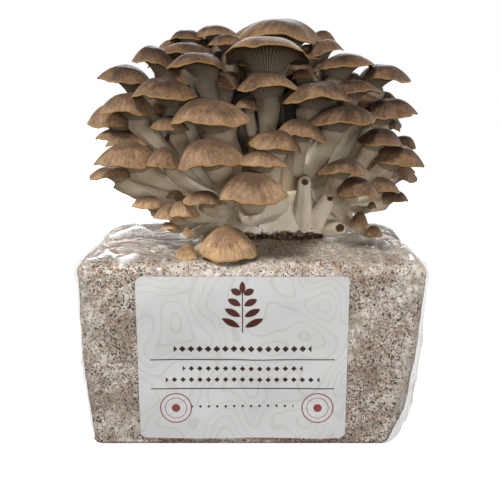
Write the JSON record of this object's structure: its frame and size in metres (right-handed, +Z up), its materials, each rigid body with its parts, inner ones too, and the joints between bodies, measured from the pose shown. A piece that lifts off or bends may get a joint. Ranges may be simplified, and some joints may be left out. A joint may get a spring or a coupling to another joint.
{
  "type": "oyster mushroom grow kit",
  "caption": "Bagged block of mushroom substrate with a plain label on its front and a dome-shaped cluster of brown oyster caps on pale stems growing from its top.",
  "frame": {"origin": "on the resting face, under the middle of the block", "axes": "+Z up, the label faces -Y, the longest side of the bag runs along X"},
  "size_m": [0.2264, 0.1898, 0.2646],
  "materials": {
    "substrate": "pale mycelium over brown sawdust, speckled",
    "film": "clear wrinkled polypropylene film",
    "label_paper": "satin white printed label",
    "base_flesh": "cream knobbly mushroom flesh",
    "stem_flesh": "cream fibrous stems",
    "cap_skin": "velvety grey-brown cap skin with a pale ochre margin"
  },
  "bodies": {
    "root": {"bag": "film", "cap_back_1": "cap_skin", "cap_back_10": "cap_skin", "cap_back_11": "cap_skin", "cap_back_2": "cap_skin", "cap_back_3": "cap_skin", "cap_back_4": "cap_skin", "cap_back_5": "cap_skin", "cap_back_6": "cap_skin", "cap_back_7": "cap_skin", "cap_back_8": "cap_skin", "cap_back_9": "cap_skin", "cap_crown_back": "cap_skin", "cap_crown_front": "cap_skin", "cap_crown_left": "cap_skin", "cap_front_large": "cap_skin", "cap_front_lowest": "cap_skin", "cap_left_edge_high": "cap_skin", "cap_left_edge_low": "cap_skin", "cap_left_edge_middle": "cap_skin", "cap_left_edge_thin": "cap_skin", "cap_left_edge_upper": "cap_skin", "cap_left_front": "cap_skin", "cap_left_high": "cap_skin", "cap_left_low": "cap_skin", "cap_left_skirt": "cap_skin", "cap_middle": "cap_skin", "cap_middle_high": "cap_skin", "cap_middle_left_high": "cap_skin", "cap_middle_low": "cap_skin", "cap_middle_right": "cap_skin", "cap_middle_right_high": "cap_skin", "cap_right_edge": "cap_skin", "cap_right_edge_high": "cap_skin", "cap_right_edge_low": "cap_skin", "cap_right_front": "cap_skin", "cap_right_high": "cap_skin", "cap_right_low": "cap_skin", "cap_right_low_front": "cap_skin", "cap_right_middle": "cap_skin", "cap_upper_left": "cap_skin", "cap_upper_left_back": "cap_skin", "cap_upper_left_edge": "cap_skin", "cap_upper_right": "cap_skin", "cap_upper_right_back": "cap_skin", "cluster_base": "base_flesh", "label": "label_paper", "stems_back": "stem_flesh", "stems_back_left": "stem_flesh", "stems_back_right": "stem_flesh", "stems_front": "stem_flesh", "stems_front_left": "stem_flesh", "stems_left": "stem_flesh", "stems_left_low": "stem_flesh", "stems_middle": "stem_flesh", "stems_right": "stem_flesh", "stems_upper_left": "stem_flesh", "stems_upper_right": "stem_flesh", "substrate_block": "substrate"}
  },
  "joints": []
}
